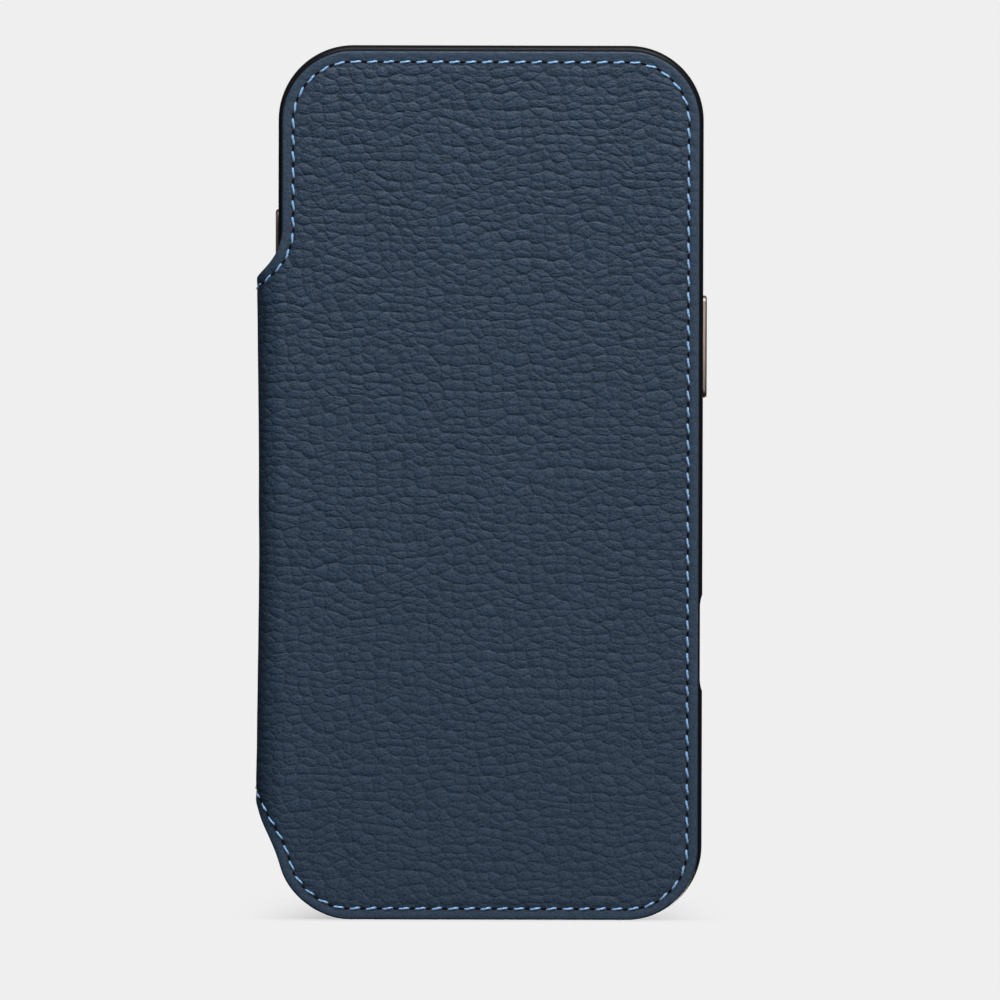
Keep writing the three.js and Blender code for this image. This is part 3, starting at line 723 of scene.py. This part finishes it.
def leather_finish(name, base, crease, light, highlight_and_border, grain, relief, gloss):
    """Pebbled leather: rounded scales parted by creases in painted shade, finer wrinkles between them
    with painted highlights, painted shadow along the stitch row, a satin finish, and a smoother band
    along the edge where it was skived and pressed, tinted lighter."""
    material = blank_material(name)
    flat = add_node(material, "ShaderNodeUVMap", uv_map="flat")
    border = add_node(material, "ShaderNodeAttribute", attribute_name="from_edge")
    wander = add_node(material, "ShaderNodeTexNoise", {
        "Vector": flat.outputs["UV"], "Scale": 1 / (5.2 * grain), "Detail": 1.5, "Roughness": 0.4})
    centred = add_node(material, "ShaderNodeVectorMath", {
        0: wander.outputs["Color"], 1: (0.5, 0.5, 0.5)}, operation="SUBTRACT")
    strayed = add_node(material, "ShaderNodeVectorMath", {
        0: centred.outputs["Vector"], "Scale": 1.5 * grain}, operation="SCALE")
    moved = add_node(material, "ShaderNodeVectorMath", {
        0: flat.outputs["UV"], 1: strayed.outputs["Vector"]}, operation="ADD")
    rows_map = add_node(material, "ShaderNodeMapping", {
        "Vector": moved.outputs["Vector"], "Scale": (1 / (3.6 * grain), 1 / (1.9 * grain), 1.0)})
    rows = add_node(material, "ShaderNodeTexVoronoi", {
        "Vector": rows_map.outputs["Vector"], "Scale": 1.0, "Randomness": 0.85},
        voronoi_dimensions="2D", feature="DISTANCE_TO_EDGE")
    scales_map = add_node(material, "ShaderNodeMapping", {
        "Vector": moved.outputs["Vector"], "Scale": (1 / (1.5 * grain), 1 / (1.02 * grain), 1.0)})
    scales = add_node(material, "ShaderNodeTexVoronoi", {
        "Vector": scales_map.outputs["Vector"], "Scale": 1.0, "Randomness": 0.8},
        voronoi_dimensions="2D", feature="DISTANCE_TO_EDGE")
    domes = add_node(material, "ShaderNodeTexVoronoi", {
        "Vector": scales_map.outputs["Vector"], "Scale": 1.0, "Randomness": 0.8},
        voronoi_dimensions="2D", feature="F1")
    in_scale = add_node(material, "ShaderNodeVectorMath", {
        0: scales_map.outputs["Vector"], 1: domes.outputs["Position"]}, operation="SUBTRACT")
    rise = add_node(material, "ShaderNodeSeparateXYZ", {"Vector": in_scale.outputs["Vector"]})
    small_map = add_node(material, "ShaderNodeMapping", {
        "Vector": moved.outputs["Vector"], "Rotation": (0.0, 0.0, 0.6),
        "Scale": (1 / (0.56 * grain), 1 / (0.4 * grain), 1.0)})
    small = add_node(material, "ShaderNodeTexVoronoi", {
        "Vector": small_map.outputs["Vector"], "Scale": 1.0}, voronoi_dimensions="2D",
        feature="DISTANCE_TO_EDGE")
    pores = add_node(material, "ShaderNodeTexNoise", {
        "Vector": flat.outputs["UV"], "Scale": 1 / (0.25 * mm), "Detail": 3.0, "Roughness": 0.65})
    row_tops = add_node(material, "ShaderNodeMapRange", {
        "Value": rows.outputs["Distance"], "From Min": 0.0, "From Max": 0.24},
        interpolation_type="SMOOTHSTEP")
    tops = add_node(material, "ShaderNodeMapRange", {
        "Value": scales.outputs["Distance"], "From Min": 0.0, "From Max": 0.26},
        interpolation_type="SMOOTHSTEP")
    small_tops = add_node(material, "ShaderNodeMapRange", {
        "Value": small.outputs["Distance"], "From Min": 0.0, "From Max": 0.25},
        interpolation_type="SMOOTHSTEP")
    bulge = add_node(material, "ShaderNodeMath", {0: domes.outputs["Distance"],
                     1: domes.outputs["Distance"]}, operation="MULTIPLY")
    height = add_node(material, "ShaderNodeMath", {0: bulge.outputs["Value"], 1: -0.95, 2: 0.6},
                      operation="MULTIPLY_ADD")
    for layer, share in (
            (rise.outputs["Y"], 0.3), (row_tops.outputs["Result"], 0.26), (tops.outputs["Result"], 0.2),
            (small_tops.outputs["Result"], 0.14), (pores.outputs["Fac"], 0.12)):
        height = add_node(material, "ShaderNodeMath", {0: layer, 1: share,
                          2: height.outputs["Value"]}, operation="MULTIPLY_ADD")
    parts = add_node(material, "ShaderNodeSeparateXYZ", {"Vector": flat.outputs["UV"]})
    firm = add_node(material, "ShaderNodeMapRange", {
        "Value": parts.outputs["Y"], "From Min": 10 * mm, "From Max": 150 * mm,
        "To Min": 0.55, "To Max": 1.0})
    inside = add_node(material, "ShaderNodeMapRange", {
        "Value": border.outputs["Fac"], "From Min": 1.2 * mm, "From Max": 3.2 * mm,
        "To Min": 0.3, "To Max": 1.0})
    strength = add_node(material, "ShaderNodeMath", {0: firm.outputs["Result"],
                        1: inside.outputs["Result"]}, operation="MULTIPLY")
    bump = add_node(material, "ShaderNodeBump", {
        "Height": height.outputs["Value"], "Strength": strength.outputs["Value"], "Distance": relief})
    patches = add_node(material, "ShaderNodeTexNoise", {
        "Vector": flat.outputs["UV"], "Scale": 1 / (9.0 * mm), "Detail": 3.0})
    tone = add_node(material, "ShaderNodeMix", {
        "Factor": patches.outputs["Fac"], "A": linear(base), "B": linear(light)}, data_type="RGBA")
    # Painted shade: the crease colour darkens the creases between the scales and the rows.
    away_from_creases = add_node(material, "ShaderNodeMath", {0: tops.outputs["Result"],
                    1: row_tops.outputs["Result"]}, operation="MULTIPLY")
    out_of_crease_shade = add_node(material, "ShaderNodeMapRange", {
        "Value": away_from_creases.outputs["Value"], "To Min": 0.55, "To Max": 1.0})
    colour = add_node(material, "ShaderNodeMix", {
        "Factor": out_of_crease_shade.outputs["Result"], "A": linear(crease), "B": tone.outputs["Result"]},
        data_type="RGBA")
    # Painted highlight: a lighter colour along the fine wrinkle lines.
    hairline_highlight = add_node(material, "ShaderNodeMapRange", {
        "Value": small_tops.outputs["Result"], "To Min": 0.4, "To Max": 0.0})
    # The band from the edge out to the stitch row is tinted lighter.
    lighter_border = add_node(material, "ShaderNodeMapRange", {
        "Value": border.outputs["Fac"], "From Min": 1.4 * mm, "From Max": 2.2 * mm,
        "To Min": 0.16, "To Max": 0.0})
    # Painted shadow in the groove that the stitch row is sunk in.
    beside = add_node(material, "ShaderNodeMath", {0: border.outputs["Fac"], 1: -stitch_inset},
                      operation="ADD")
    beside = add_node(material, "ShaderNodeMath", {0: beside.outputs["Value"]}, operation="ABSOLUTE")
    shadow = add_node(material, "ShaderNodeMapRange", {
        "Value": beside.outputs["Value"], "From Min": 0.15 * mm, "From Max": 0.75 * mm,
        "To Min": 0.45, "To Max": 0.0}, interpolation_type="SMOOTHSTEP")
    # Mixes in the painted wrinkle highlights, the lighter border band and the painted groove shadow.
    for share, over in ((hairline_highlight, highlight_and_border), (lighter_border, highlight_and_border), (shadow, "#141b26")):
        colour = add_node(material, "ShaderNodeMix", {
            "Factor": share.outputs["Result"], "A": colour.outputs["Result"], "B": linear(over)},
            data_type="RGBA")
    shine = add_node(material, "ShaderNodeMapRange", {
        "Value": tops.outputs["Result"], "To Min": gloss + 0.15, "To Max": gloss})
    shader = add_node(material, "ShaderNodeBsdfPrincipled", {
        "Base Color": colour.outputs["Result"], "Roughness": shine.outputs["Result"], "IOR": 1.46,
        "Normal": bump.outputs["Normal"]})
    put_on(material, shader)
    return material


# Its second colour is painted crease shade; its fourth is the painted wrinkle highlight and the border tint.
leather = leather_finish("pebbled navy leather", "#1f3349", "#172533", "#273e55", "#3b526a",
                         1.62 * mm, 0.25 * mm, 0.5)

# Edge paint: several coats of navy acrylic, sanded between them, smooth and slightly glossy.
edge_paint = blank_material("navy edge paint")
place = add_node(edge_paint, "ShaderNodeTexCoord")
sanding = add_node(edge_paint, "ShaderNodeTexNoise", {
    "Vector": place.outputs["Object"], "Scale": 1 / (0.8 * mm), "Detail": 3.0})
edge_tone = add_node(edge_paint, "ShaderNodeMix", {
    "Factor": sanding.outputs["Fac"], "A": linear("#141c28"), "B": linear("#1f2a3a")}, data_type="RGBA")
edge_bump = add_node(edge_paint, "ShaderNodeBump", {
    "Height": sanding.outputs["Fac"], "Strength": 0.3, "Distance": 0.04 * mm})
edge_shader = add_node(edge_paint, "ShaderNodeBsdfPrincipled", {
    "Base Color": edge_tone.outputs["Result"], "Roughness": 0.38, "Normal": edge_bump.outputs["Normal"]})
put_on(edge_paint, edge_shader)

# Where the leather turns with the cover, and where it turns with the back.
turn_start = spine_low.x + 0.05 * mm
turn_end = -37.8 * mm
front_turn = {"start": (turn_start, -3.0 * mm, 0.0), "end": (turn_end, cover_low.y, 0.0)}
back_turn = {"start": (turn_start, 2.8 * mm, 0.0), "end": (turn_end, back_high.y, 0.0)}
bend_round(cover_skin)
bend_round(back_skin)
cover_side = finished(cover_skin, "cover_and_spine_leather", [leather, edge_paint], "",
                      ["cover_leather", "spine_leather"])
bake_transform(cover_side, "spine", "cover", **front_turn)
back_side = finished(back_skin, "back_leather_skin", [leather, edge_paint], "",
                     ["back_leather"])
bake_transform(back_side, "spine", "holder", **back_turn)


# ---- Outer stitching ----
# A single row of light blue polyester thread all round the skin, about three millimetres to the
# stitch. Each stitch is a short twisted strand that lies at a slight slant between two needle holes.
stitch_pitch = 3.1 * mm
strand_length = 2.2 * mm
strand_thickness = 0.42 * mm
strand_slant = math.radians(9.0)


def strand_template():
    """One stitch, lying along x on the plane y = 0: two plies twisted together, ends dipped."""
    strand = bmesh.new()
    uv = strand.loops.layers.uv.new("flat")
    bmesh.ops.create_uvsphere(strand, u_segments=8, v_segments=8, radius=1.0)
    turned(strand, "Y", 90.0)
    for vertex in strand.verts:
        along = vertex.co.x
        radius = math.hypot(vertex.co.y, vertex.co.z)
        full = (1.0 - along ** 4) ** 0.5 if abs(along) < 1 else 0.0
        spin = math.atan2(vertex.co.z, vertex.co.y)
        lobe = 1.0 + 0.16 * math.cos(2 * (spin - 2.6 * along))
        if radius > 1e-6:
            vertex.co.y *= full * lobe / radius
            vertex.co.z *= full * lobe / radius
        dip = 0.55 * abs(along) ** 3
        vertex.co.x = along * strand_length / 2
        vertex.co.y = vertex.co.y * strand_thickness * 0.42 + dip * strand_thickness - 0.1 * mm
        vertex.co.z = vertex.co.z * strand_thickness / 2
    for f in strand.faces:
        for loop in f.loops:
            co = loop.vert.co
            loop[uv].uv = (co.x, math.atan2(co.z, co.y) * strand_thickness / 2)
    mesh = bpy.data.meshes.new("strand")
    strand.to_mesh(mesh)
    strand.free()
    return mesh


def hole_template():
    """Painted shade for the needle hole between two stitches: a shallow dark lens in the leather."""
    lens = bmesh.new()
    bmesh.ops.create_uvsphere(lens, u_segments=8, v_segments=4, radius=1.0)
    turned(lens, "X", 90.0)
    bmesh.ops.scale(lens, vec=(0.55 * mm, 0.06 * mm, 0.25 * mm), verts=lens.verts[:])
    for f in lens.faces:
        f.material_index = 1
    mesh = bpy.data.meshes.new("needle_hole")
    lens.to_mesh(mesh)
    lens.free()
    return mesh


def places_along(line, pitch, closed=True):
    """Evenly spaced places on a line through points: (u, z, direction) at each stitch's middle."""
    points = line + [line[0]] if closed else line
    lengths = [math.dist(a, b) for a, b in zip(points, points[1:])]
    total = sum(lengths)
    count = round(total / pitch)
    places = []
    index = 0
    passed = 0.0
    for i in range(count):
        target = (i + 0.5) * total / count
        while passed + lengths[index] < target:
            passed += lengths[index]
            index += 1
        share = (target - passed) / lengths[index]
        a, b = points[index], points[index + 1]
        places.append((a[0] + (b[0] - a[0]) * share, a[1] + (b[1] - a[1]) * share,
                       math.atan2(b[1] - a[1], b[0] - a[0])))
    return places


def sew(places, depth_at, outside):
    """Stitches and needle holes at flat places, each at its depth, facing out or in."""
    sewn = bmesh.new()
    strand = strand_template()
    hole = hole_template()
    facing = 1.0 if outside else -1.0
    for u, z, heading in places:
        for template, back, slant in ((strand, 0.0, strand_slant), (hole, -stitch_pitch / 2, 0.0)):
            before = len(sewn.verts)
            sewn.from_mesh(template)
            sewn.verts.ensure_lookup_table()
            fresh = sewn.verts[before:]
            wobble = slant * 0.6 * noise.noise(Vector((u, z, 0.0)) / (1.7 * mm))
            turn = Matrix.Rotation(-(heading + slant + wobble), 3, "Y")
            side = Matrix.Diagonal((1.0, facing, 1.0))
            centre_u = u + back * math.cos(heading)
            centre_z = z + back * math.sin(heading)
            depth = depth_at(centre_u, centre_z)
            for vertex in fresh:
                moved = side @ (turn @ vertex.co)
                vertex.co = (centre_u + moved.x, depth + moved.y, centre_z + moved.z)
    if not outside:
        bmesh.ops.reverse_faces(sewn, faces=sewn.faces[:])
    bpy.data.meshes.remove(strand)
    bpy.data.meshes.remove(hole)
    return sewn


# Bonded polyester thread: a soft shine, with fine plies that twist round the strand; the lighter colour on
# the ply bands is a painted highlight.
thread = blank_material("light blue polyester thread")
flat = add_node(thread, "ShaderNodeUVMap", uv_map="flat")
plies = add_node(thread, "ShaderNodeTexWave", {
    "Vector": flat.outputs["UV"], "Scale": 1 / (2.2 * mm), "Distortion": 0.6, "Detail": 1.0,
    "Detail Scale": 2.0}, wave_type="BANDS", bands_direction="DIAGONAL")
ply_colour_and_highlight = add_node(thread, "ShaderNodeMix", {
    "Factor": plies.outputs["Fac"], "A": linear("#6ca6e0"), "B": linear("#a9d2fb")}, data_type="RGBA")
ply_bump = add_node(thread, "ShaderNodeBump", {
    "Height": plies.outputs["Fac"], "Strength": 0.7, "Distance": 0.05 * mm})
thread_shader = add_node(thread, "ShaderNodeBsdfPrincipled", {
    "Base Color": ply_colour_and_highlight.outputs["Result"], "Roughness": 0.55, "Sheen Weight": 0.2,
    "Sheen Roughness": 0.4, "Normal": ply_bump.outputs["Normal"]})
put_on(thread, thread_shader)

# The inside of a needle hole: leather fibre in shadow.
hole_dark = blank_material("needle hole")
place = add_node(hole_dark, "ShaderNodeTexCoord")
fibre = add_node(hole_dark, "ShaderNodeTexNoise", {
    "Vector": place.outputs["Object"], "Scale": 1 / (0.2 * mm), "Detail": 2.0})
hole_tone = add_node(hole_dark, "ShaderNodeMix", {
    "Factor": fibre.outputs["Fac"], "A": linear("#06080c"), "B": linear("#10151d")}, data_type="RGBA")
hole_shader = add_node(hole_dark, "ShaderNodeBsdfPrincipled", {
    "Base Color": hole_tone.outputs["Result"], "Roughness": 0.9, "Specular IOR Level": 0.1})
put_on(hole_dark, hole_shader)

stitches = places_along(stitch_line, stitch_pitch)
row_depth = 0.1 * mm
for name, sign, nodes, turn, body in (
        ("cover_stitching", 1, ["cover_thread", "spine_thread_lower", "spine_thread_upper"],
         front_turn, "cover"),
        ("back_stitching", -1, ["back_thread"], back_turn, "holder")):
    row = sew([s for s in stitches if s[0] * sign > 0], lambda u, z: row_depth, True)
    bend_round(row)
    row_piece = finished(row, name, [thread, hole_dark], "", nodes, crease=80.0)
    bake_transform(row_piece, "spine", body, **turn)


# ---- Cover board and magnets ----
# Between the cover's leather and its lining lie a stiff board and two flat nickel-plated magnets.
# They stay as they are in the model. The board is flecked and matt, and the plating is bright.
greyboard = blank_material("pressed grey board")
place = add_node(greyboard, "ShaderNodeTexCoord")
board_fibre = add_node(greyboard, "ShaderNodeTexNoise", {
    "Vector": place.outputs["Object"], "Scale": 1 / (0.6 * mm), "Detail": 5.0, "Roughness": 0.7})
board_tone = add_node(greyboard, "ShaderNodeMix", {
    "Factor": board_fibre.outputs["Fac"], "A": linear("#8a857c"), "B": linear("#a9a499")},
    data_type="RGBA")
board_bump = add_node(greyboard, "ShaderNodeBump", {
    "Height": board_fibre.outputs["Fac"], "Strength": 0.4, "Distance": 0.05 * mm})
board_shader = add_node(greyboard, "ShaderNodeBsdfPrincipled", {
    "Base Color": board_tone.outputs["Result"], "Roughness": 0.9, "Normal": board_bump.outputs["Normal"]})
put_on(greyboard, board_shader)
refinish("cover_board", greyboard)

nickel = blank_material("nickel plating")
place = add_node(nickel, "ShaderNodeTexCoord")
plating = add_node(nickel, "ShaderNodeTexNoise", {
    "Vector": place.outputs["Object"], "Scale": 1 / (1.5 * mm), "Detail": 3.0})
plating_rough = add_node(nickel, "ShaderNodeMapRange", {
    "Value": plating.outputs["Fac"], "To Min": 0.15, "To Max": 0.3})
nickel_shader = add_node(nickel, "ShaderNodeBsdfPrincipled", {
    "Base Color": linear("#c9c5bb"), "Metallic": 1.0, "Roughness": plating_rough.outputs["Result"]})
put_on(nickel, nickel_shader)
refinish("cover_magnet_lower", nickel)
refinish("cover_magnet_upper", nickel)


# ---- Lining ----
# Navy microfibre is glued to the inside of the skin, over the cover and round the spine up to the
# holder's wall, and is sewn into the same edge.
lining_gap = 0.05 * mm
lining_thick = 0.5 * mm
lining_shrink = trim + 0.15 * mm
lining_end = -(spine_flat + 0.52 * bend_length)
lining = plate(skin_corners(lining_shrink), 0.0, lining_thick)
ease_edges(lining, 0.12 * mm, 2)
divide(lining, cover_right, cover_high.z)
cut_off(lining, lining_end, True)
for vertex in lining.verts:
    thickness = leather_depth + (cover_depth - leather_depth) * thicker(vertex.co.x)
    vertex.co.y += thickness + lining_gap
cover_lining = half_of(lining, True)
spine_lining = half_of(lining, False)
lining.free()
bend_round(cover_lining)
bend_round(spine_lining)
lining_piece = finished(cover_lining, "cover_and_spine_lining", [microfibre], "",
                        ["cover_lining", "spine_lining"])
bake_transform(lining_piece, "spine", "cover", **front_turn)
lining_piece = finished(spine_lining, "spine_lining_back", [microfibre])
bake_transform(lining_piece, "spine", "holder", **back_turn)


# ---- Pockets ----
# Four sheets of thin smooth navy leather lie on the lining, one over another: a full cash pocket
# and three card pockets, each with a slanted, painted opening edge a little to the right of the
# one under it.
# As on the skin, its second colour is painted crease shade; its fourth is painted highlight and border tint.
pocket_leather = leather_finish("smooth navy pocket leather", "#2a394c", "#1c2735", "#314258",
                                "#37495f", 0.75 * mm, 0.07 * mm, 0.5)
pocket_names = ("cash_pocket", "card_pocket_3", "card_pocket_2", "card_pocket_1")
pocket_slant = 4.0 * mm
pocket_corner = 13.45 * mm
for name in pocket_names:
    low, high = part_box(name)
    right, foot, top = high.x - trim, low.z + trim - cover_drop, high.z - trim - cover_drop
    foot_rounding = 3.0 * mm if low.x < holder_low.x + holder_corner else 0.0
    outline = [(low.x, foot, foot_rounding), (right, foot, pocket_corner), (right, top, pocket_corner),
               (low.x + pocket_slant, top, 0.0)]
    pocket = plate(outline, low.y + 0.02 * mm, high.y)
    ease_edges(pocket, 0.12 * mm, 2)
    from_edge = pocket.verts.layers.float.new("from_edge")
    flat_map = pocket.loops.layers.uv.new("flat")
    for vertex in pocket.verts:
        vertex[from_edge] = 1.0
    for f in pocket.faces:
        f.material_index = 1 if abs(f.normal.y) < 0.8 else 0
        for loop in f.loops:
            loop[flat_map].uv = (loop.vert.co.x, loop.vert.co.z)
    finished(pocket, name + "_sheet", [pocket_leather, edge_paint], "cover", [name])


# ---- Inner stitching ----
# The edge row comes out on the inside too, over the lining and the pockets, and two short rows
# part the card pockets.
pocket_boxes = [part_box(name) for name in pocket_names]


def inner_depth(u, z):
    """The depth of the innermost sheet at a flat place on the cover."""
    depth = leather_depth + (cover_depth - leather_depth) * thicker(u) + lining_gap + lining_thick
    x = fold_x + u - bend_end
    for low, high in pocket_boxes:
        edge = low.x + pocket_slant * (z - low.z) / (high.z - low.z)
        if u > cover_left and x > edge:
            depth = high.y - cover_low.y
    return depth - 0.03 * mm


inner_row = sew([s for s in stitches if s[0] > 0], inner_depth, False)
bend_round(inner_row)
inner_piece = finished(inner_row, "inner_edge_stitching", [thread, hole_dark], "", crease=80.0)
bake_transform(inner_piece, "spine", "cover", **front_turn)
for name in ("pocket_thread_lower", "pocket_thread_upper"):
    low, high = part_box(name)
    row_z = (low.z + high.z) / 2
    to_u = bend_end - fold_x
    run = places_along([(low.x + to_u, row_z), (high.x + to_u, row_z)], stitch_pitch, closed=False)
    row = sew(run, inner_depth, False)
    bend_round(row)
    finished(row, name + "_stitches", [thread, hole_dark], "cover", [name], crease=80.0)


bpy.context.view_layer.update()
